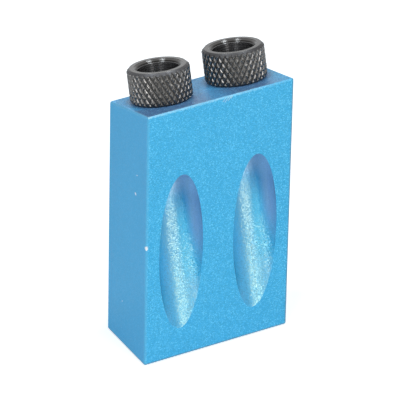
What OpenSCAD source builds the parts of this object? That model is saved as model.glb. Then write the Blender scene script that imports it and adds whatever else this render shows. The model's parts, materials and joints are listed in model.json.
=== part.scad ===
// Pocket hole jig: a wedge-topped block with two slanted through bores,
// each lined by a headed drill bushing that lifts out by its knurled head.
// Millimetres. The base is at z = 0, the front (working) face looks along -Y.

/* [Block] */
// Width of the block, across both bores
block_w = 40; // [38:0.5:48]
// Depth of the block, from the front face to the back face
block_d = 19; // [18.5:0.5:24]
// Height of the front face
block_h = 70.5; // [66:0.5:74]
// Radius that every outer edge of the block is rounded to
edge_r = 0.5; // [0.2:0.1:1]

/* [Guide bores] */
// Angle between the bores and the front face
bore_angle = 16; // [14:0.5:17]
// Distance between the two bore axes
bore_spacing = 20.5; // [19:0.5:22]
// Height at which the bore axes leave the front face
exit_h = 30; // [28:0.5:34]
// Width of the bevel at the top mouth of each bore
bore_bevel = 0.4; // [0.2:0.1:0.8]

/* [Drill bushings] */
// Diameter of the drill that the bushings guide
drill_d = 10; // [8:0.5:11]
// Wall of the bushing inside the block
bushing_wall = 1; // [0.8:0.1:1.5]
// Gap all round between a bushing and its bore
bushing_gap = 0.03; // [0.02:0.01:0.08]
// Length of the bushing inside the block
shank_l = 14; // [8:1:16]
// How far the head stands out past the wall all round
head_rim = 1.6; // [1.2:0.1:2.2]
// Height of the head
head_h = 8.4; // [6:0.2:12]
// Width of the bevel round the top of the head
head_bevel = 0.7; // [0.4:0.1:1]
// Width of the bevel round the foot of the head
foot_bevel = 0.6; // [0.3:0.1:0.9]
// Width of the drill's lead-in at the top of the bushing
mouth_bevel = 0.75; // [0.3:0.05:1]
// Width of the bevel round the lower end of the bushing
tip_bevel = 0.4; // [0.2:0.1:0.6]

/* [Knurl] */
// Number of helical grooves cut each way round the head
knurl_starts = 32; // [24:1:40]
// Angle between the grooves and the axis of the bushing
knurl_angle = 30; // [25:1:40]
// Depth of the grooves
knurl_depth = 0.35; // [0.25:0.05:0.6]
// Share of a full sharp diamond that the flat crests leave out
crest_share = 0.4; // [0.1:0.05:0.5]

/* [Hidden] */
$fn = 96;
// How far cuts run past the faces that they open
overrun = 1;
// The top face is square to the bores, so it falls towards the back
back_h = block_h - block_d * tan(bore_angle);
drill_r = drill_d / 2;
shank_r = drill_r + bushing_wall;
head_r = shank_r + head_rim;
bore_r = shank_r + bushing_gap;
// Distance along a bore axis from the front face up to the top face
seat_s = (block_h - exit_h) * cos(bore_angle);
// Distance along a bore axis from the front face down to the trough's lower end
trough_s = bore_r / tan(bore_angle);
// Distance round the head from one groove to the next
knurl_pitch = 2 * PI * head_r / knurl_starts;
// Distance along the head from one row of groove crossings to the next
knurl_row = knurl_pitch / 2 / tan(knurl_angle);
knurl_rows = ceil(head_h / knurl_row) + 2;
root_r = head_r - knurl_depth;
peak_r = root_r + knurl_depth / (1 - crest_share);

// Helpers for outlines whose corners are rounded with true arcs
function unit(v) = v / norm(v);
function left_of(v) = [-v.y, v.x];
function neighbour(pts, i, step) = pts[(i + step + len(pts)) % len(pts)];
function way_in(pts, i) = unit(pts[i] - neighbour(pts, i, -1));
function way_out(pts, i) = unit(neighbour(pts, i, 1) - pts[i]);
function arc_centre(pts, i, r) =
    let (a = way_in(pts, i), b = way_out(pts, i))
    pts[i] + (b - a) * r / (a.x * b.y - a.y * b.x);

// Convex outline, listed counterclockwise, with every corner rounded
module rounded_outline(pts, r) {
    polygon([
        for (i = [0 : len(pts) - 1])
            for (way = [way_in(pts, i), way_out(pts, i)])
                arc_centre(pts, i, r) - left_of(way) * r
    ]);
    for (i = [0 : len(pts) - 1])
        translate(arc_centre(pts, i, r)) circle(r);
}

// Corners of a rectangle centred on x = 0, from y0 to y1
function band(w, y0, y1) = [[-w / 2, y0], [w / 2, y0], [w / 2, y1], [-w / 2, y1]];

// Places its children on a bore axis: origin where the axis leaves the
// front face, +Z up along the axis. side is -1 for the left bore, 1 for the right
module on_axis(side) {
    translate([side * bore_spacing / 2, -block_d / 2, exit_h])
        rotate([-bore_angle, 0, 0])
            children();
}

// Wedge-topped block: four rounded bars that cross, so every edge is rounded
module block() {
    side_outline = [
        [-block_d / 2, 0], [block_d / 2, 0], [block_d / 2, back_h], [-block_d / 2, block_h]
    ];
    reach = block_h + block_d;
    intersection() {
        rotate([90, 0, 90])
            linear_extrude(block_w, center = true) rounded_outline(side_outline, edge_r);
        linear_extrude(block_h)
            rounded_outline(band(block_w, -block_d / 2, block_d / 2), edge_r);
        rotate([90, 0, 0])
            linear_extrude(reach, center = true)
                rounded_outline(band(block_w, 0, reach), edge_r);
        translate([0, -block_d / 2, block_h]) rotate([90 - bore_angle, 0, 0])
            linear_extrude(2 * reach, center = true)
                rounded_outline(band(block_w, -2 * reach, 0), edge_r);
    }
}

// Everything that one guide bore takes out of the block
module guide_bore(side) {
    on_axis(side) {
        translate([0, 0, -trough_s - overrun])
            cylinder(r = bore_r, h = trough_s + seat_s + 2 * overrun);
        translate([0, 0, seat_s - bore_bevel])
            cylinder(r1 = bore_r, r2 = bore_r + bore_bevel + overrun,
                     h = bore_bevel + overrun);
    }
}

module jig_body() {
    color("#4AB3E6") difference() {
        block();
        guide_bore(-1);
        guide_bore(1);
    }
}

// Bar covered in sharp diamonds: grooves at +knurl_angle and -knurl_angle cross
// at every other point of each row, and a diamond peaks between two crossings
module diamond_bar() {
    cols = 2 * knurl_starts;
    function at(row, col) = row * cols + col % cols;
    points = [
        for (row = [0 : knurl_rows], col = [0 : cols - 1])
            let (r = (row + col) % 2 == 0 ? root_r : peak_r, a = 360 * col / cols)
            [r * cos(a), r * sin(a), row * knurl_row]
    ];
    walls = [
        for (row = [0 : knurl_rows - 1], col = [0 : cols - 1])
            let (a = at(row, col), b = at(row, col + 1),
                 c = at(row + 1, col + 1), d = at(row + 1, col))
            each (row + col) % 2 == 0 ? [[a, c, b], [a, d, c]] : [[a, d, b], [b, d, c]]
    ];
    ends = [
        [for (col = [0 : cols - 1]) at(0, col)],
        [for (col = [cols - 1 : -1 : 0]) at(knurl_rows, col)]
    ];
    polyhedron(points, concat(walls, ends));
}

// Outside of the head before knurling, standing on its seat
module head_blank() {
    rotate_extrude()
        polygon([
            [0, 0], [head_r - foot_bevel, 0], [head_r, foot_bevel],
            [head_r, head_h - head_bevel], [head_r - head_bevel, head_h], [0, head_h]
        ]);
}

// Head with its knurl, whose bevels cut the diamonds off at both ends
module knurled_head() {
    intersection() {
        translate([0, 0, (head_h - knurl_rows * knurl_row) / 2]) diamond_bar();
        head_blank();
    }
}

// Part of the bushing that runs in the bore, hanging from the seat
module shank() {
    rotate_extrude()
        polygon([
            [0, -shank_l], [shank_r - tip_bevel, -shank_l], [shank_r, tip_bevel - shank_l],
            [shank_r, overrun], [0, overrun]
        ]);
}

// One bushing in its bore, its head seated on the top face
module drill_bushing(side) {
    on_axis(side) translate([0, 0, seat_s]) color("#47484B") difference() {
        union() {
            knurled_head();
            shank();
        }
        translate([0, 0, -shank_l - overrun])
            cylinder(r = drill_r, h = shank_l + head_h + 2 * overrun);
        translate([0, 0, head_h - mouth_bevel])
            cylinder(r1 = drill_r, r2 = drill_r + mouth_bevel + overrun,
                     h = mouth_bevel + overrun);
    }
}

module drill_bushing_left() { drill_bushing(-1); }
module drill_bushing_right() { drill_bushing(1); }

jig_body();
drill_bushing_left();
drill_bushing_right();
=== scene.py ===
import json
import math

import bmesh
import bpy
from mathutils import Matrix, Vector


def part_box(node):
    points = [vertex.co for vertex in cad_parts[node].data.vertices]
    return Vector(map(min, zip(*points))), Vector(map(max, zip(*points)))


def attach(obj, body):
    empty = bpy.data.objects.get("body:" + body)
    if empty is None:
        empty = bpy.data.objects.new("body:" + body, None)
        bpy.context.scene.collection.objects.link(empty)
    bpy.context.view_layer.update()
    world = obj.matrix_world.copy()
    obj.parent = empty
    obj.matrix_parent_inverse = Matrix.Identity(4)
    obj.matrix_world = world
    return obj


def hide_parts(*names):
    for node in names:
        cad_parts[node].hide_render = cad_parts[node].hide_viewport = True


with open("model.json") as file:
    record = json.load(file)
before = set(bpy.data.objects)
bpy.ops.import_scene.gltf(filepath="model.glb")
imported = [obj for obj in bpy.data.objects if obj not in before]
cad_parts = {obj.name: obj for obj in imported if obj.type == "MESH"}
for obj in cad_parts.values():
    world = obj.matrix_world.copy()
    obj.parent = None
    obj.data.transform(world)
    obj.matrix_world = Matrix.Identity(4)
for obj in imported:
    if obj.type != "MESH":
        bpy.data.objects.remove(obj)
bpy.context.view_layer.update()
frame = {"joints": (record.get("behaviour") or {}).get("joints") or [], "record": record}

MM = 0.001
LEFT, RIGHT = -1, 1

# Sizes in metres, read from the frame where it holds them
body_low, body_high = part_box("jig_body")
BLOCK_W = body_high[0] - body_low[0]
BLOCK_D = body_high[1] - body_low[1]
FRONT_Y = body_low[1]
BLOCK_H = 70.5 * MM
EDGE_R = 0.5 * MM
RIM_R = 0.12 * MM

slides = {joint["name"]: joint for joint in frame["joints"]}
AXIS = Vector(slides["left_bushing_slide"]["axis"])
TILT = math.atan2(AXIS[1], AXIS[2])
SHANK_L = slides["left_bushing_slide"]["range_m"][1]
guides = {m["name"]: m for m in frame["record"]["mounts"] if m["kind"] == "bore"}
DRILL_R = guides["drill_guide_left"]["dims"]["r_mm"] * MM
SPACING = guides["drill_guide_right"]["pos_m"][0] - guides["drill_guide_left"]["pos_m"][0]
EXIT_H = 30 * MM
BUSHING_WALL = 1 * MM
BUSHING_GAP = 0.03 * MM
HEAD_RIM = 1.6 * MM
SHANK_R = DRILL_R + BUSHING_WALL
BORE_R = SHANK_R + BUSHING_GAP
HEAD_R = SHANK_R + HEAD_RIM
HEAD_H = 8.4 * MM
HEAD_BEVEL = 0.7 * MM
FOOT_BEVEL = 0.6 * MM
MOUTH_BEVEL = 0.75 * MM
TIP_BEVEL = 0.4 * MM
SEAT_S = (BLOCK_H - EXIT_H) * math.cos(TILT)

KNURL_STARTS = 32
KNURL_ANGLE = math.radians(30)
KNURL_DEPTH = 0.35 * MM
STEPS_PER_START = 16
# Half widths in steps of each head's falling and rising grooves, and depth share of the narrower ones
GROOVE_STEPS = {LEFT: (6, 4), RIGHT: (5, 6)}
NARROW_SHARE = 0.85


def axis_frame(side):
    """Matrix whose origin is where a bore axis leaves the front face and whose +Z runs up the axis."""
    place = Matrix.Translation((side * SPACING / 2, FRONT_Y, EXIT_H))
    return place @ Matrix.Rotation(-TILT, 4, "X")


def seat_centre(side):
    """Middle of a bushing's seat on the top face."""
    return axis_frame(side) @ Vector((0, 0, SEAT_S))


def new_object(name, bm):
    """Object in the scene made from a bmesh, which is freed."""
    mesh = bpy.data.meshes.new(name)
    bm.to_mesh(mesh)
    bm.free()
    obj = bpy.data.objects.new(name, mesh)
    bpy.context.scene.collection.objects.link(obj)
    return obj


# Camera, from the fit of the block's outline, corners and bores to the photograph
CAM_AZ, CAM_EL, CAM_ROLL = map(math.radians, (-30.02, 31.93, 1.23))
CAM_AIM = Vector((0, 0, 0.036))
CAM_DIST = 1.1597
CLIP_NEAR, CLIP_FAR = 0.01, 50
FOCAL_PX, IMAGE_PX, SENSOR_MM = 4776.7, 400, 36
OFFSET_PX = (-0.54, 2.18)


def toward(azimuth, elevation):
    """Unit vector from the object to a viewer or lamp; azimuth 0 is straight in front."""
    level = math.cos(elevation)
    return Vector((math.sin(azimuth) * level, -math.cos(azimuth) * level, math.sin(elevation)))


def make_camera():
    back = toward(CAM_AZ, CAM_EL)
    level = Vector((math.cos(CAM_AZ), math.sin(CAM_AZ), 0))
    rise = back.cross(level)
    right = level * math.cos(CAM_ROLL) + rise * math.sin(CAM_ROLL)
    up = rise * math.cos(CAM_ROLL) - level * math.sin(CAM_ROLL)
    per_px = CAM_DIST / FOCAL_PX
    place = CAM_AIM + back * CAM_DIST - right * OFFSET_PX[0] * per_px + up * OFFSET_PX[1] * per_px
    data = bpy.data.cameras.new("camera")
    data.sensor_width = SENSOR_MM
    data.lens = SENSOR_MM * FOCAL_PX / IMAGE_PX
    data.clip_start = CLIP_NEAR
    data.clip_end = CLIP_FAR
    camera = bpy.data.objects.new("camera", data)
    camera.matrix_world = Matrix((
        (right.x, up.x, back.x, place.x),
        (right.y, up.y, back.y, place.y),
        (right.z, up.z, back.z, place.z),
        (0, 0, 0, 1),
    ))
    bpy.context.scene.collection.objects.link(camera)
    bpy.context.scene.camera = camera


# Node building
class Tree:
    """Short ways to add shader nodes. Most return an output of the last node that they add."""

    # Sockets of a Mix node for each kind of value: the two inputs and the output
    MIX_SOCKETS = {"FLOAT": (2, 3, 0), "VECTOR": (4, 5, 1), "RGBA": (6, 7, 2)}

    def __init__(self, tree):
        self.tree = tree

    def node(self, kind, **settings):
        node = self.tree.nodes.new("ShaderNode" + kind)
        for key, value in settings.items():
            setattr(node, key, value)
        return node

    def put(self, node, socket, value):
        """Link an output to a socket, or set the socket to a value; None leaves it as it is."""
        if isinstance(value, bpy.types.NodeSocket):
            self.tree.links.new(value, node.inputs[socket])
        elif value is not None:
            node.inputs[socket].default_value = value

    def add(self, kind, *values, out=0, **settings):
        node = self.node(kind, **settings)
        for socket, value in enumerate(values):
            self.put(node, socket, value)
        return node.outputs[out]

    def times(self, a, b):
        return self.add("Math", a, b, operation="MULTIPLY")

    def plus(self, a, b):
        return self.add("Math", a, b, operation="ADD")

    def minus(self, a, b):
        return self.add("Math", a, b, operation="SUBTRACT")

    def most(self, a, b):
        return self.add("Math", a, b, operation="MAXIMUM")

    def least(self, a, b):
        return self.add("Math", a, b, operation="MINIMUM")

    def length(self, a, b):
        return self.add("Math", self.plus(self.times(a, a), self.times(b, b)), operation="SQRT")

    def vector(self, operation, a, b=None):
        return self.add("VectorMath", a, b, operation=operation)

    def measure(self, operation, a, b):
        """Vector operation whose result is a number, such as a distance."""
        return self.add("VectorMath", a, b, out="Value", operation=operation)

    def scaled(self, vector, factor):
        return self.add("VectorMath", vector, None, None, factor, operation="SCALE")

    def ramp(self, value, zero_at, one_at):
        """0 at zero_at and beyond it, 1 at one_at and beyond it, smooth between."""
        return self.add("MapRange", value, zero_at, one_at, 0.0, 1.0, interpolation_type="SMOOTHSTEP")

    def mix(self, share, a, b, kind="RGBA"):
        node = self.node("Mix", data_type=kind)
        first, second, out = self.MIX_SOCKETS[kind]
        self.put(node, 0, share)
        self.put(node, first, a)
        self.put(node, second, b)
        return node.outputs[out]

    def split(self, vector):
        node = self.node("SeparateXYZ")
        self.put(node, 0, vector)
        return node.outputs

    def noise(self, place, per_mm, detail=2.0, roughness=0.5):
        node = self.node("TexNoise")
        self.put(node, "Vector", place)
        self.put(node, "Scale", per_mm)
        self.put(node, "Detail", detail)
        self.put(node, "Roughness", roughness)
        return node.outputs["Fac"]

    def swing(self, value, strength):
        """A 0 to 1 value turned into one that swings about 0."""
        return self.times(self.minus(value, 0.5), strength)

    def cells(self, place, per_mm):
        node = self.node("TexVoronoi")
        self.put(node, "Vector", place)
        self.put(node, "Scale", per_mm)
        return node.outputs["Color"]

    def bump(self, height, strength, distance, normal=None):
        node = self.node("Bump")
        self.put(node, "Strength", strength)
        self.put(node, "Distance", distance)
        self.put(node, "Height", height)
        self.put(node, "Normal", normal)
        return node.outputs[0]


def new_material(name):
    """A new material, its tree, and a function that sets or links an input of its shader."""
    material = bpy.data.materials.new(name)
    material.use_nodes = True
    shader = material.node_tree.nodes["Principled BSDF"]
    t = Tree(material.node_tree)
    return material, t, lambda socket, value: t.put(shader, socket, value)


# Sizes for the materials, in millimetres
HALF_W, FRONT, TOP = BLOCK_W / 2 / MM, FRONT_Y / MM, BLOCK_H / MM
SEAT, AXIS_X = SEAT_S / MM, SPACING / 2 / MM
BORE_IN, HEAD_OUT, HEAD_TOP = DRILL_R / MM, HEAD_R / MM, HEAD_H / MM
ROOT, RIM = (HEAD_R - KNURL_DEPTH) / MM, (HEAD_R - HEAD_BEVEL) / MM


class Place:
    """A point of the block, in millimetres: mm as a vector, x, y and z, its distance aside from the
    middle, and how far up the bores' axes it is from where they leave the front face."""

    def __init__(self, t):
        self.t = t
        self.mm = t.scaled(t.add("TexCoord", out="Object"), 1 / MM)
        self.x, self.y, self.z = t.split(self.mm)
        self.aside = t.add("Math", self.x, operation="ABSOLUTE")
        self.up = self.beyond_exit(AXIS)

    def beyond_exit(self, direction):
        """How far along a direction the point is from where the bores' axes leave the front face."""
        exit_along = (FRONT_Y * direction[1] + EXIT_H * direction[2]) / MM
        return self.t.minus(self.t.measure("DOT_PRODUCT", self.mm, tuple(direction)), exit_along)

    def from_axis(self):
        """Distance from the nearer bore's axis."""
        behind = self.beyond_exit((0, math.cos(TILT), -math.sin(TILT)))
        return self.t.length(self.t.minus(self.aside, AXIS_X), behind)


# Block: bead-blasted aluminium, anodised light blue
BLUE = (0.044, 0.400, 0.73, 1)
# Painted shade: the side faces a darker, deeper blue than the front
SIDE_SHADE = (0.015, 0.345, 0.67, 1)
# Painted light: the top face paler towards its left
TOP_LIGHT = (0.096, 0.52, 0.97, 1)
# Painted shade round the heads and along the top face's front: their shadow and dark reflection
TOP_SHADE = (0.092, 0.200, 0.40, 1)
# Painted glints: the palest blasted facets mixed towards this pale cyan
GLINT = (0.29, 0.84, 1.0, 1)
BARE = (0.80, 0.86, 0.90, 1)
# Wear and painted highlight on the rounded edges
WEAR_AND_HIGHLIGHT = (0.42, 0.74, 0.88, 1)
# Painted shade along the base and the front right edge
BASE_SHADE = (0.085, 0.20, 0.29, 1)
METAL_SHARE = 0.10
# Blasted facets across a millimetre, each with its own tilt, and how far they tilt
FACETS_PER_MM = 5.4
FACET_TILT = 0.34
# How much the facets differ in tone, what the top face adds, and the share of grain that side faces lack
FACET_TONE, TOP_TONE, SIDE_CALM = 0.33, 0.10, 0.72
# Facets whose random number is above this glint, and how strongly
GLINT_FROM, GLINT_SHARE = 0.70, 0.31
# Slow change of tone over the block, patches across a millimetre and strength
CLOUDS_PER_MM, CLOUD_TONE = 0.09, 0.10
# Least and added roughness of the facets, gloss of the anodising, and a fine skin over them
FACET_ROUGH, FACET_SPREAD, BLOCK_GLOSS = 0.30, 0.10, 0.22
SKIN_PER_MM, SKIN_STRENGTH, SKIN_DEPTH = 4.5, 0.2, 0.04 * MM

# A pair of millimetres is where a mask is 0 and where it is 1, from here on
# Side faces by distance from the middle, and top face by distance up the bores' axes
SIDE_BAND = (HALF_W - 0.5, HALF_W - 0.1)
TOP_BAND = (SEAT - 0.1, SEAT - 0.03)
# Top face: painted shade round the heads and along its front, less so in the middle; painted light, paler
# at the left
HEAD_SHADOW = (HEAD_OUT + 2.4, HEAD_OUT + 0.2)
FRONT_SHADOW_Y, FRONT_SHADOW_X = (0.0, -5.0), (20.0, 12.0)
MIDDLE_X, MIDDLE_SHARE, MIDDLE_SHADOW = (6.0, 0.0), 0.75, 0.42
BLUE_FROM_X = (9.0, 19.0)
SHADOW_PER_MM, HEAD_SHADOW_WANDER, FRONT_SHADOW_WANDER = 0.8, 1.2, 1.5
# Wear and painted highlight along the rounded edges, as reach and strength: front top edge, more at its
# left corner and less towards its right end, front left edge, and the edges between the top face and the
# sides
TOP_EDGE, TOP_WEAR_AND_HIGHLIGHT = (0.75, 0.20), 0.5
CORNER_X, CORNER_WEAR_AND_HIGHLIGHT = (1 - HALF_W, -HALF_W), 0.4
SPARED_X, SPARED_SHARE = (2.0, 16.0), 0.6
UPRIGHT_EDGE, UPRIGHT_WEAR_AND_HIGHLIGHT = (0.80, 0.15), 0.16
RIDGE_EDGE, RIDGE_WEAR = (0.70, 0.15), 0.22
EDGE_PER_MM, EDGE_WANDER = 2.5, 0.9
# Painted shade along the base and the front right edge
BASE_SHADE_REACH, BASE_SHADE_SHARE = (0.75, 0.25), 0.7
# Chips through the anodising, seen in the photograph: place and radius in mm
CHIPS = (
    ((-HALF_W, FRONT + 0.1, 33.8), 0.58),
    ((-HALF_W, -3.9, 46.3), 0.30),
    ((-HALF_W, -4.6, 51.9), 0.16),
    ((-HALF_W, 2.1, 12.2), 0.16),
)
# Where a chip is 0 and where it is 1, as shares of its radius
CHIP_OUTER, CHIP_INNER = 1.15, 0.7
# Fine scratches on the front face just under the top edge: both ends as x and depth under the edge in mm
SCRATCHES = (
    ((0.4, 1.2), (1.3, 0.2)),
    ((0.9, 1.5), (2.2, 0.1)),
    ((1.8, 1.3), (2.6, 0.3)),
    ((2.5, 0.9), (3.1, 0.3)),
)
SCRATCH_SHARE, SCRATCH_REACH = 0.75, 0.13


def facets(t, mm, tilt, per_mm):
    """Blasted facets: one random number for each, and the normal that it tilts to."""
    cell = t.cells(mm, per_mm)
    lean = t.vector("MULTIPLY", t.vector("SUBTRACT", cell, (0.5, 0.5, 0.5)), tilt)
    plain = t.add("NewGeometry", out="Normal")
    normal = t.vector("NORMALIZE", t.vector("ADD", plain, lean))
    return t.add("SeparateColor", cell), normal


def shaded_top(t, at):
    """Colour of the top face, with painted shade round the heads and along its front edge, and painted
    light.
    """
    uneven = t.noise(at.mm, SHADOW_PER_MM, detail=3.0, roughness=0.6)
    reach = t.plus(at.from_axis(), t.times(uneven, HEAD_SHADOW_WANDER))
    top_shadow = t.ramp(reach, *HEAD_SHADOW)
    strip = t.minus(at.y, t.times(t.noise(at.mm, SHADOW_PER_MM), FRONT_SHADOW_WANDER))
    strip = t.ramp(strip, *FRONT_SHADOW_Y)
    top_shadow = t.most(top_shadow, t.times(strip, t.ramp(at.x, *FRONT_SHADOW_X)))
    middle = t.times(t.ramp(at.aside, *MIDDLE_X), MIDDLE_SHARE)
    top_shadow = t.mix(middle, top_shadow, MIDDLE_SHADOW, kind="FLOAT")
    return t.mix(top_shadow, t.mix(t.ramp(at.x, *BLUE_FROM_X), TOP_LIGHT, BLUE), TOP_SHADE)


def grainy_blue(t, at, side_face, grainy, chance):
    """Colour of the anodising before any wear, with painted shade, painted light and painted glints."""
    on_top = t.ramp(at.up, *TOP_BAND)
    blue = t.mix(on_top, t.mix(side_face, BLUE, SIDE_SHADE), shaded_top(t, at))
    blue = t.mix(t.times(t.ramp(chance, GLINT_FROM, 1.0), t.times(grainy, GLINT_SHARE)), blue, GLINT)
    tone = t.swing(chance, t.plus(t.times(grainy, FACET_TONE), t.times(on_top, TOP_TONE)))
    cloud = t.swing(t.noise(at.mm, CLOUDS_PER_MM, detail=3.0), CLOUD_TONE)
    return t.scaled(blue, t.plus(t.plus(tone, cloud), 1.0))


def edge_wear_and_highlight(t, at, wander):
    """How far the anodising is worn along the block's edges, and painted highlight there."""
    def near(a, b, reach):
        return t.ramp(t.plus(t.length(a, b), wander), *reach)
    top = near(t.minus(at.y, FRONT), t.minus(at.z, TOP), TOP_EDGE)
    spared = t.minus(1.0, t.times(t.ramp(at.x, *SPARED_X), SPARED_SHARE))
    corner = t.times(t.ramp(at.x, *CORNER_X), CORNER_WEAR_AND_HIGHLIGHT)
    top = t.times(top, t.times(spared, t.plus(corner, TOP_WEAR_AND_HIGHLIGHT)))
    upright = near(t.plus(at.x, HALF_W), t.minus(at.y, FRONT), UPRIGHT_EDGE)
    ridge = near(t.minus(at.aside, HALF_W), t.minus(at.up, SEAT), RIDGE_EDGE)
    return t.most(t.most(top, t.times(upright, UPRIGHT_WEAR_AND_HIGHLIGHT)), t.times(ridge, RIDGE_WEAR))


def base_shade(t, at):
    """How much painted shade darkens the lowest stretch of the block and its front right edge."""
    from_edge = t.length(t.minus(at.x, HALF_W), t.minus(at.y, FRONT))
    return t.times(t.ramp(t.least(at.z, from_edge), *BASE_SHADE_REACH), BASE_SHADE_SHARE)


def bare_spots(t, at, wander):
    """How bare the aluminium is, in chips and fine scratches."""
    bare = 0.0
    for centre, radius in CHIPS:
        away = t.plus(t.measure("DISTANCE", at.mm, centre), wander)
        bare = t.most(bare, t.ramp(away, CHIP_OUTER * radius, CHIP_INNER * radius))
    for (x0, depth0), (x1, depth1) in SCRATCHES:
        run = Vector((x1 - x0, 0, depth0 - depth1))
        offset = t.vector("SUBTRACT", at.mm, (x0, FRONT, TOP - depth0))
        along = t.measure("DOT_PRODUCT", offset, tuple(run / run.length_squared))
        foot = t.scaled(tuple(run), t.least(t.most(along, 0.0), 1.0))
        away = t.measure("DISTANCE", offset, foot)
        bare = t.most(bare, t.minus(SCRATCH_SHARE, t.ramp(away, 0.0, SCRATCH_REACH)))
    return bare


def blasted_blue():
    """Outside of the block."""
    material, t, shade = new_material("anodised_block")
    at = Place(t)
    side_face = t.ramp(at.aside, *SIDE_BAND)
    grainy = t.minus(1.0, t.times(side_face, SIDE_CALM))
    tilt = t.times(grainy, FACET_TILT)
    chance, tilted = facets(t, at.mm, t.add("CombineXYZ", tilt, tilt, tilt), FACETS_PER_MM)
    wander = t.swing(t.noise(at.mm, EDGE_PER_MM), EDGE_WANDER)

    blue = grainy_blue(t, at, side_face, grainy, chance)
    blue = t.mix(edge_wear_and_highlight(t, at, wander), blue, WEAR_AND_HIGHLIGHT)
    blue = t.mix(base_shade(t, at), blue, BASE_SHADE)
    shade("Base Color", t.mix(bare_spots(t, at, wander), blue, BARE))
    shade("Roughness", t.plus(t.times(chance, FACET_SPREAD), FACET_ROUGH))
    shade("Metallic", METAL_SHARE)
    shade("Specular IOR Level", BLOCK_GLOSS)
    skin = t.noise(at.mm, SKIN_PER_MM, roughness=0.6)
    shade("Normal", t.bump(skin, SKIN_STRENGTH, SKIN_DEPTH, tilted))
    return material


# Bore walls, with light and shade painted into their colour: the painted streak of light, the painted
# second streak beside it, the painted shade of the left wall and of its lower part, that of the right
# wall, and the closed part of the bore painted paler as painted light
STREAK = (0.100, 0.475, 0.765, 1)
SECOND = (0.036, 0.48, 0.80, 1)
LEFT_WALL, LOW_WALL = (0.062, 0.42, 0.79, 1), (0.036, 0.36, 0.67, 1)
SHADED = (0.235, 0.43, 0.74, 1)
DEEP = (0.36, 0.65, 0.97, 1)
# Tint of the highlights, and of those dulled as painted shade
WARM, HIGHLIGHT_SHADE = (1, 0.96, 0.38, 1), (0.4, 0.4, 0.28, 1)
# Facets are finer here. They tilt more towards the open lower end, and there mostly along the axis
BORE_FACETS_PER_MM = 1.2 * FACETS_PER_MM
DEEP_TILT, OPEN_TILT, OPEN_UP = (0.22, 0.22, 0.14), (0.32, 0.32, 0.46), (5.0, -5.0)
# How much they differ in tone deep in the bore, and what is added towards the open end
DEEP_TONE, OPEN_TONE, OPEN_TONE_UP = 0.18, 0.36, (4.0, -6.0)
BORE_ROUGH, BORE_SPREAD, BORE_IOR = 0.09, 0.06, 1.92
# Each zone of a wall as two pairs of millimetres: right of the bore's axis, and up that axis. Where a
# streak ends on its right as well, that is a pair or a zone of its own
STREAK_ZONE, STREAK_RIGHT = ((-0.5, 0.8), (4.0, -8.0)), (4.6, 2.6)
SECOND_LEFT, SECOND_RIGHT = ((1.8, 3.2), (-12.0, -4.0)), ((6.0, 4.8), (12.0, 5.0))
DULL_RIGHT_ZONE = ((2.4, 3.4), (-2.0, 5.0))
RIGHT_ZONE = ((4.0, 6.0), (-8.0, 6.0))
LEFT_ZONE = ((0.2, -2.5), (6.0, -4.0))
# The left wall's border leans over below this height, by this much to the right for each millimetre
LEAN_UP, LEAN_SLOPE = -8.0, 0.05
# Where along the axis the left wall gets its lower colour, and the whole bore its deep one
LOW_UP, DEEP_UP = (-5.0, -14.0), (11.0, 17.0)
# Where up the bore the highlights are dulled as painted shade, how much, and the share of that to the
# streak's right
DULL_UP, DULL_SHARE, DULL_RIGHT_SHARE = (6.0, 14.0), 0.8, 0.8


def bored_blue():
    """Inside of the bores: the same blue, smoother, so it throws sharper and warmer highlights; light and
    shade painted in.
    """
    material, t, shade = new_material("anodised_bore")
    at = Place(t)
    rightward = t.minus(at.x, t.times(t.add("Math", at.x, operation="SIGN"), AXIS_X))

    def zone(across, along, place=rightward):
        return t.times(t.ramp(place, *across), t.ramp(at.up, *along))
    lean = t.times(t.least(t.minus(at.up, LEAN_UP), 0.0), LEAN_SLOPE)
    left_wall = zone(*LEFT_ZONE, place=t.plus(rightward, lean))
    streak = t.times(zone(*STREAK_ZONE), t.ramp(rightward, *STREAK_RIGHT))
    second = t.times(zone(*SECOND_LEFT), zone(*SECOND_RIGHT))

    blue = t.mix(streak, BLUE, STREAK)
    blue = t.mix(second, blue, SECOND)
    blue = t.mix(left_wall, blue, t.mix(t.ramp(at.up, *LOW_UP), LEFT_WALL, LOW_WALL))
    blue = t.mix(zone(*RIGHT_ZONE), blue, SHADED)
    blue = t.mix(t.ramp(at.up, *DEEP_UP), blue, DEEP)

    tilt = t.mix(t.ramp(at.up, *OPEN_UP), DEEP_TILT, OPEN_TILT, kind="VECTOR")
    chance, tilted = facets(t, at.mm, tilt, BORE_FACETS_PER_MM)
    tone = t.swing(chance, t.plus(t.times(t.ramp(at.up, *OPEN_TONE_UP), OPEN_TONE), DEEP_TONE))
    # Painted shade on the highlights: up the closed part, right of the streak, and on the left wall
    highlight_shade = t.most(t.ramp(at.up, *DULL_UP), t.times(zone(*DULL_RIGHT_ZONE), DULL_RIGHT_SHARE))
    highlight_shade = t.most(left_wall, t.times(highlight_shade, DULL_SHARE))
    shade("Base Color", t.scaled(blue, t.plus(tone, 1.0)))
    shade("Roughness", t.plus(t.times(chance, BORE_SPREAD), BORE_ROUGH))
    shade("Metallic", METAL_SHARE)
    shade("IOR", BORE_IOR)
    shade("Specular Tint", t.mix(highlight_shade, WARM, HIGHLIGHT_SHADE))
    shade("Normal", tilted)
    return material


# Bushings: hardened steel with a black oxide finish
OXIDE = (0.230, 0.229, 0.229, 1)
# Dark oxide in blotches, also used as painted shade in the knurl's valleys
DARK_OXIDE_AND_SHADE = (0.027, 0.026, 0.025, 1)
CREST = (0.020, 0.0205, 0.021, 1)
GROUND = (0.105, 0.106, 0.110, 1)
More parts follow.
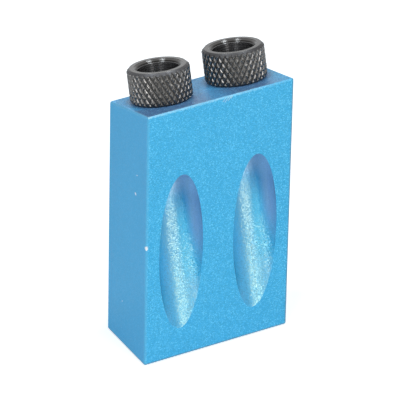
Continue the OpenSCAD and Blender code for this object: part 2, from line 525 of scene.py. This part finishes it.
# Top ring and bevel of each head, the right head's painted darker as painted shade
TURNED_AND_SHADE = {LEFT: (0.112, 0.110, 0.108, 1), RIGHT: (0.078, 0.077, 0.076, 1)}
BEVELLED_AND_SHADE = {LEFT: (0.085, 0.085, 0.09, 1), RIGHT: (0.064, 0.064, 0.067, 1)}
# Bore and lead-in, whose lower half is painted dark as painted shade, as it sees only the dark bore
BORED = (0.160, 0.161, 0.165, 1)
CHAMFERED, DIM = (0.105, 0.103, 0.101, 1), (0.022, 0.021, 0.020, 1)
# Masks by height over the seat
RING_Z = (HEAD_TOP - 0.06, HEAD_TOP - 0.01)
BEVEL_Z = (HEAD_TOP - 0.78, HEAD_TOP - 0.62)
KNURL_Z, SHANK_Z = (0.1, 0.4), (0.05, -0.05)
# Masks by distance from the bushing's axis
BEVEL_OUT = (RIM - 0.02, RIM + 0.06)
DARK_CREST_OUT = (HEAD_OUT - 0.09, HEAD_OUT - 0.01)
ROUGH_CREST_OUT = (HEAD_OUT - 0.08, HEAD_OUT - 0.01)
VALLEY_IN = (ROOT + 0.2, ROOT - 0.02)
LEAD_OUT = (BORE_IN + 0.02, BORE_IN + 0.08)
LOW_LEAD_IN = (BORE_IN + 0.48, BORE_IN + 0.24)
# Blotches in the oxide, where they let the dark crests through, and shares of the darker colours
BLOTCHES_PER_MM, BLOTCH_SHARE, CREST_BLOTCHES = 2.2, 0.6, (0.30, 0.55)
VALLEY_SHARE, CREST_SHARE = 0.9, 0.92
# Fine grain, least roughness of the outside and of the bore, and roughness of the lead-in
FINE_PER_MM, FINE_ROUGH, OUTER_ROUGH, BORED_ROUGH, LEAD_ROUGH = 8.0, 0.14, 0.11, 0.20, 0.25
# What crests, valleys and the bevel add to the roughness
CREST_ROUGH, VALLEY_ROUGH, BEVEL_ROUGH = 0.26, 0.30, 0.28
STEEL_METAL, BORE_METAL = 0.82, 0.94
# Turning rings: an even wave in radians for each millimetre, uneven rings over it, and the mean of both
RING_WAVE, WAVE_SHARE = 11.0, 0.3
UNEVEN_PER_MM, UNEVEN_SHARE, RING_MEAN = 2.6, 1.6, 0.8
# How much the rings change the tone outside and in the bore, and the uneven wear over them
OUTER_RINGS, BORE_RINGS = 0.5, 0.95
WEAR_PER_MM, WEAR_SHARE, LEAST_TONE = 5.0, 0.8, 0.15
STEEL_BUMP, STEEL_BUMP_DEPTH = 0.3, 0.03 * MM
# The rings stretch each highlight up the bore
STRETCH, QUARTER_TURN = 0.93, 0.25


def on_seat(t, side):
    """Place in mm in a frame that stands on the bushing's seat with +Z up its axis."""
    place, seat = t.add("TexCoord", out="Object"), tuple(seat_centre(side))
    return t.scaled(t.add("Mapping", place, seat, (-TILT, 0, 0), vector_type="TEXTURE"), 1 / MM)


def turning_rings(t, radius, z):
    """Fine rings that the lathe tool left."""
    wave = t.add("Math", t.times(t.plus(radius, z), RING_WAVE), operation="SINE")
    uneven = t.noise(t.add("CombineXYZ", radius, z, 0.0), UNEVEN_PER_MM, detail=3.0, roughness=0.7)
    return t.plus(t.times(wave, WAVE_SHARE), t.times(uneven, UNEVEN_SHARE))


def worn_steel(t, mm, steel, ring, share):
    """A steel colour, varied by the turning rings and by wear."""
    wear = t.plus(1.0, t.times(t.minus(ring, RING_MEAN), share))
    wear = t.plus(wear, t.swing(t.noise(mm, WEAR_PER_MM, roughness=0.7), WEAR_SHARE))
    return t.scaled(steel, t.most(wear, LEAST_TONE))


def steel_skin(t, ring, fine):
    """Normal of the turning rings with a fine grain over them."""
    rings = t.bump(ring, STEEL_BUMP, STEEL_BUMP_DEPTH)
    return t.bump(fine, STEEL_BUMP, STEEL_BUMP_DEPTH, rings)


def black_oxide(side, word):
    """Outside of a bushing: glossy groove walls, dark rough crests, valleys in painted shade, turned ring
    and bevel.
    """
    material, t, shade = new_material(f"bushing_steel_{word}")
    mm = on_seat(t, side)
    x, y, z = t.split(mm)
    radius = t.length(x, y)
    blotches = t.noise(mm, BLOTCHES_PER_MM, detail=3.0, roughness=0.6)
    fine = t.noise(mm, FINE_PER_MM, roughness=0.6)
    ring = turning_rings(t, radius, z)

    flat = t.ramp(z, *RING_Z)
    bevel = t.times(t.ramp(z, *BEVEL_Z), t.ramp(radius, *BEVEL_OUT))
    turned = t.most(flat, bevel)
    knurled = t.times(t.ramp(z, *KNURL_Z), t.minus(1.0, turned))
    valley = t.times(knurled, t.ramp(radius, *VALLEY_IN))
    crest = t.times(knurled, t.times(t.ramp(radius, *DARK_CREST_OUT), t.ramp(blotches, *CREST_BLOTCHES)))
    steel = t.mix(t.times(blotches, BLOTCH_SHARE), OXIDE, DARK_OXIDE_AND_SHADE)
    # Painted shade: the knurl's valleys darkened
    steel = t.mix(t.times(valley, VALLEY_SHARE), steel, DARK_OXIDE_AND_SHADE)
    steel = t.mix(t.times(crest, CREST_SHARE), steel, CREST)
    steel = t.mix(t.ramp(z, *SHANK_Z), steel, GROUND)
    steel = t.mix(bevel, steel, BEVELLED_AND_SHADE[side])
    steel = t.mix(flat, steel, TURNED_AND_SHADE[side])

    rough = t.plus(t.times(fine, FINE_ROUGH), OUTER_ROUGH)
    rough = t.plus(rough, t.times(t.times(knurled, t.ramp(radius, *ROUGH_CREST_OUT)), CREST_ROUGH))
    rough = t.plus(rough, t.times(valley, VALLEY_ROUGH))
    shade("Base Color", worn_steel(t, mm, steel, ring, t.times(turned, OUTER_RINGS)))
    shade("Roughness", t.plus(rough, t.times(bevel, BEVEL_ROUGH)))
    shade("Metallic", STEEL_METAL)
    shade("Normal", steel_skin(t, t.times(ring, turned), fine))
    return material


def bored_steel(side, word):
    """Inside of a bushing: bore and lead-in, whose turning rings stretch each highlight up the wall."""
    material, t, shade = new_material(f"bushing_bore_{word}")
    mm = on_seat(t, side)
    x, y, z = t.split(mm)
    radius = t.length(x, y)
    fine = t.noise(mm, FINE_PER_MM, roughness=0.6)
    ring = turning_rings(t, radius, z)
    lead = t.ramp(radius, *LEAD_OUT)
    # Painted shade: the lower half of the lead-in dark
    steel = t.mix(lead, BORED, t.mix(t.ramp(radius, *LOW_LEAD_IN), CHAMFERED, DIM))
    rough = t.plus(t.times(fine, FINE_ROUGH), BORED_ROUGH)

    from_seat = t.vector("SUBTRACT", t.add("TexCoord", out="Object"), tuple(seat_centre(side)))
    shade("Base Color", worn_steel(t, mm, steel, ring, BORE_RINGS))
    shade("Roughness", t.mix(lead, rough, LEAD_ROUGH, kind="FLOAT"))
    shade("Metallic", BORE_METAL)
    shade("Anisotropic", STRETCH)
    shade("Anisotropic Rotation", QUARTER_TURN)
    shade("Tangent", t.vector("NORMALIZE", t.vector("CROSS_PRODUCT", tuple(AXIS), from_seat)))
    shade("Normal", steel_skin(t, ring, fine))
    return material


# Block mesh: a wedge-topped prism, bored through, with every edge rounded
BORE_SIDES = 160
# How far the cutter of a bore runs past both its ends
CUT_BELOW, CUT_ABOVE = 2 * MM, 3 * MM
EDGE_STEPS = 4
# Faces that meet at less than this have no edge to round
CREASE = math.radians(12)
# How near to a bore's wall a point has to be to lie on it
NEAR = 0.02 * MM


def wedge():
    """Block before it is bored and rounded."""
    back_h = BLOCK_H - BLOCK_D * math.tan(TILT)
    half = BLOCK_W / 2
    outline = [(FRONT_Y, 0), (-FRONT_Y, 0), (-FRONT_Y, back_h), (FRONT_Y, BLOCK_H)]
    bm = bmesh.new()
    left = [bm.verts.new((-half, y, z)) for y, z in outline]
    right = [bm.verts.new((half, y, z)) for y, z in outline]
    bm.faces.new(left[::-1])
    bm.faces.new(right)
    for i in range(len(outline)):
        j = (i + 1) % len(outline)
        bm.faces.new((left[i], left[j], right[j], right[i]))
    bmesh.ops.recalc_face_normals(bm, faces=bm.faces)
    return new_object("jig_body_blasted", bm)


def drill_bore(block, side):
    """Cut one bore right through the block."""
    low, high = -BORE_R / math.tan(TILT) - CUT_BELOW, SEAT_S + CUT_ABOVE
    bm = bmesh.new()
    bmesh.ops.create_cone(
        bm, cap_ends=True, segments=BORE_SIDES, radius1=BORE_R, radius2=BORE_R, depth=high - low,
        matrix=axis_frame(side) @ Matrix.Translation((0, 0, (low + high) / 2))
    )
    cutter = new_object("bore_cutter", bm)
    cut = block.modifiers.new("bore", "BOOLEAN")
    cut.operation = "DIFFERENCE"
    cut.solver = "EXACT"
    cut.object = cutter
    apply_modifiers(block)
    bpy.data.objects.remove(cutter)


def rounded_block():
    """Whole block, with both bores and every edge rounded."""
    block = wedge()
    drill_bore(block, LEFT)
    drill_bore(block, RIGHT)
    weigh_edges(block)
    bevel = block.modifiers.new("edges", "BEVEL")
    bevel.limit_method = "WEIGHT"
    bevel.width = EDGE_R
    bevel.segments = EDGE_STEPS
    bevel.harden_normals = True
    bevel.use_clamp_overlap = False
    for face in block.data.polygons:
        face.use_smooth = True
    apply_modifiers(block)
    mark_bores(block)
    return block


def apply_modifiers(obj):
    """Replace an object's mesh by what its modifiers make of it."""
    graph = bpy.context.evaluated_depsgraph_get()
    mesh = bpy.data.meshes.new_from_object(obj.evaluated_get(graph))
    obj.modifiers.clear()
    old, obj.data = obj.data, mesh
    bpy.data.meshes.remove(old)


def distance_to_axis(point, side):
    away = axis_frame(side).inverted() @ point
    return math.hypot(away.x, away.y)


def weigh_edges(block):
    """Full bevel weight on the block's own edges, and a small one on the bores' rims."""
    bm = bmesh.new()
    bm.from_mesh(block.data)
    layers = bm.edges.layers.float
    weight = layers.get("bevel_weight_edge") or layers.new("bevel_weight_edge")
    for edge in bm.edges:
        if len(edge.link_faces) != 2 or edge.calc_face_angle(0) < CREASE:
            continue
        rim = any(
            all(abs(distance_to_axis(v.co, side) - BORE_R) < NEAR for v in edge.verts)
            for side in (LEFT, RIGHT)
        )
        edge[weight] = RIM_R / EDGE_R if rim else 1.0
    bm.to_mesh(block.data)
    bm.free()


def mark_bores(block):
    """Give the bores' walls the second material slot."""
    for face in block.data.polygons:
        points = [block.data.vertices[i].co for i in face.vertices]
        inside = any(
            all(distance_to_axis(p, side) < BORE_R + NEAR for p in points) for side in (LEFT, RIGHT)
        )
        face.material_index = 1 if inside else 0


# Bushing mesh: one closed revolve whose band between the bevels carries the knurl
COLS = KNURL_STARTS * STEPS_PER_START
# How far the seat's outer ring stays inside the foot bevel
FOOT_INSET = 0.1 * MM
# Small steps that soften the edges of the lead-in
LIP = 0.06 * MM
MOUTH_DROP = 0.03 * MM
LEAD_STEP = 0.05 * MM
SHARP_ANGLE = math.radians(24)


def groove(offset):
    """Rounded profile of a groove: 1 on its centre line and 0 from its edge on."""
    return 0.5 + 0.5 * math.cos(math.pi * min(offset, 1))


def knurl_height(side, col, row):
    """Height over the groove floor, 0 to KNURL_DEPTH, at a grid point of the knurl."""
    widest = max(GROOVE_STEPS[side])
    lefts = []
    for steps, place in zip(GROOVE_STEPS[side], (col + row, col - row)):
        offset = min(place % STEPS_PER_START, -place % STEPS_PER_START)
        depth = 1 if steps == widest else NARROW_SHARE
        lefts.append(1 - depth * groove(offset / steps))
    return KNURL_DEPTH * min(lefts)


def head_limit(z):
    """Outer radius of the bevelled head blank at a height over the seat."""
    return min(HEAD_R, HEAD_R - FOOT_BEVEL + z, HEAD_R - HEAD_BEVEL + (HEAD_H - z))


def bushing_rings(side):
    """Rings of (radius, height) points, from the bore's lower edge out, up the outside and down the bore,
    with the numbers of the knurl's first and last ring."""
    row_step = 2 * math.pi * HEAD_R / COLS / math.tan(KNURL_ANGLE)
    rows = int(HEAD_H / row_step)
    start = (HEAD_H - rows * row_step) / 2
    heights = [0.0] + [start + k * row_step for k in range(rows + 1)] + [HEAD_H]
    knurl = [
        [(min(HEAD_R - KNURL_DEPTH + knurl_height(side, c, k), head_limit(z)), z) for c in range(COLS)]
        for k, z in enumerate(heights)
    ]
    mouth_r = DRILL_R + MOUTH_BEVEL
    below = (
        (DRILL_R, -SHANK_L), (SHANK_R - TIP_BEVEL, -SHANK_L), (SHANK_R, TIP_BEVEL - SHANK_L),
        (SHANK_R, 0), (HEAD_R - FOOT_BEVEL - FOOT_INSET, 0),
    )
    above = (
        ((HEAD_R - HEAD_BEVEL + mouth_r) / 2, HEAD_H), (mouth_r + LIP, HEAD_H),
        (mouth_r, HEAD_H - MOUTH_DROP), (DRILL_R + LEAD_STEP, HEAD_H - MOUTH_BEVEL + MOUTH_DROP),
        (DRILL_R, HEAD_H - MOUTH_BEVEL - LEAD_STEP),
    )
    rings = [[point] * COLS for point in below] + knurl + [[point] * COLS for point in above]
    return rings, len(below), len(below) + len(heights) - 1


def splits_from_first(col, row):
    """Whether a quad of the knurl is cut from its first corner, so that the cut runs along a groove."""
    to_falling, to_rising = (col - row) % STEPS_PER_START, (col + row + 1) % STEPS_PER_START
    return (min(to_falling, STEPS_PER_START - to_falling)
            <= min(to_rising, STEPS_PER_START - to_rising))


def bushing_mesh(name, side):
    rings, first, last = bushing_rings(side)
    # The bore's material starts at the rim of the lead-in, two rings past the knurl
    opening = last + 2
    place = axis_frame(side) @ Matrix.Translation((0, 0, SEAT_S))
    bm = bmesh.new()
    grid = []
    for ring in rings:
        angles = [2 * math.pi * c / COLS for c in range(COLS)]
        points = [Vector((r * math.cos(a), r * math.sin(a), z)) for a, (r, z) in zip(angles, ring)]
        grid.append([bm.verts.new(place @ point) for point in points])
    for j, here in enumerate(grid):
        above = grid[(j + 1) % len(grid)]
        for c in range(COLS):
            d = (c + 1) % COLS
            quad = (here[c], here[d], above[d], above[c])
            if not first <= j < last:
                bm.faces.new(quad).material_index = 1 if j >= opening else 0
            elif splits_from_first(c, j - first):
                bm.faces.new((quad[0], quad[1], quad[2]))
                bm.faces.new((quad[0], quad[2], quad[3]))
            else:
                bm.faces.new((quad[0], quad[1], quad[3]))
                bm.faces.new((quad[1], quad[2], quad[3]))
    bmesh.ops.recalc_face_normals(bm, faces=bm.faces)
    for face in bm.faces:
        face.smooth = True
    obj = new_object(name, bm)
    obj.data.set_sharp_from_angle(angle=SHARP_ANGLE)
    return obj


# Stage and light
FLOOR_HALF, FLOOR_DROP = 6, 0.02 * MM
PAPER, WHITE = (0.86, 0.865, 0.87, 1), (1, 1, 1, 1)
PAPER_GLOW = 0.55
AMBIENT, AMBIENT_STRENGTH = (0.74, 0.86, 1.0, 1), 0.16
# Lamps: name, azimuth and elevation in degrees, distance, width and height in metres, watts, colour
LAMPS = (
    ("key", 0, 6, 1.0, (0.80, 0.28), 3.3, (1.0, 0.94, 0.80)),
    ("low_left", -62, 6, 1.0, (0.50, 0.28), 1.8, (1.0, 0.98, 0.90)),
    ("left_strip", -50, 35, 1.0, (0.30, 0.40), 1.4, (1.0, 0.99, 0.98)),
    ("high", 6, 37, 1.0, (0.20, 0.30), 1.6, (1.0, 0.97, 0.94)),
    ("top_left", -118, 66, 1.2, (0.20, 0.20), 3.8, (0.88, 0.95, 1.0)),
    ("top_right", 80, 73, 1.2, (0.20, 0.20), 4.4, (0.88, 0.95, 1.0)),
)


def empty_tree(owner):
    """Cleared node tree of a material or a world."""
    owner.use_nodes = True
    owner.node_tree.nodes.clear()
    return Tree(owner.node_tree)


def shown(t):
    """1 for the rays that see the background: camera, glossy and transmission rays."""
    paths = t.node("LightPath").outputs
    return t.most(paths["Is Camera Ray"], t.most(paths["Is Glossy Ray"], paths["Is Transmission Ray"]))


def make_floor():
    """White paper that glows a little to the rays that see it."""
    bm = bmesh.new()
    bmesh.ops.create_grid(bm, x_segments=1, y_segments=1, size=FLOOR_HALF)
    floor = new_object("floor", bm)
    floor.location.z = -FLOOR_DROP
    material = bpy.data.materials.new("floor")
    t = empty_tree(material)
    paper = t.add("BsdfDiffuse", PAPER)
    glow = t.add("Emission", WHITE, t.times(shown(t), PAPER_GLOW))
    t.put(t.node("OutputMaterial"), 0, t.add("AddShader", paper, glow))
    floor.data.materials.append(material)


def make_world():
    """White background over a dim, bluish ambient light."""
    world = bpy.data.worlds.new("studio")
    bpy.context.scene.world = world
    t = empty_tree(world)
    ambient = t.add("Background", AMBIENT, AMBIENT_STRENGTH)
    white = t.add("Background", WHITE, 1.0)
    t.put(t.node("OutputWorld"), 0, t.add("MixShader", shown(t), ambient, white))


def make_lamp(name, azimuth, elevation, distance, size, watts, colour):
    """Area lamp that faces the object."""
    data = bpy.data.lights.new(name, "AREA")
    data.shape = "RECTANGLE"
    data.size, data.size_y = size
    data.energy = watts
    data.color = colour
    direction = toward(math.radians(azimuth), math.radians(elevation))
    lamp = bpy.data.objects.new(name, data)
    lamp.location = CAM_AIM + direction * distance
    lamp.rotation_mode = "QUATERNION"
    lamp.rotation_quaternion = direction.to_track_quat("Z", "Y")
    bpy.context.scene.collection.objects.link(lamp)


def dress(obj, materials, node, body):
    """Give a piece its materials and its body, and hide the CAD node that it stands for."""
    for material in materials:
        obj.data.materials.append(material)
    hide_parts(node)
    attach(obj, body)


make_camera()
make_floor()
make_world()
for lamp in LAMPS:
    make_lamp(*lamp)

dress(rounded_block(), (blasted_blue(), bored_blue()), "jig_body", "block")
for side, word in ((LEFT, "left"), (RIGHT, "right")):
    piece = bushing_mesh(f"drill_bushing_{word}_knurled", side)
    finish = black_oxide(side, word), bored_steel(side, word)
    dress(piece, finish, f"drill_bushing_{word}", f"{word}_bushing")

bpy.context.scene.view_settings.view_transform = "Standard"
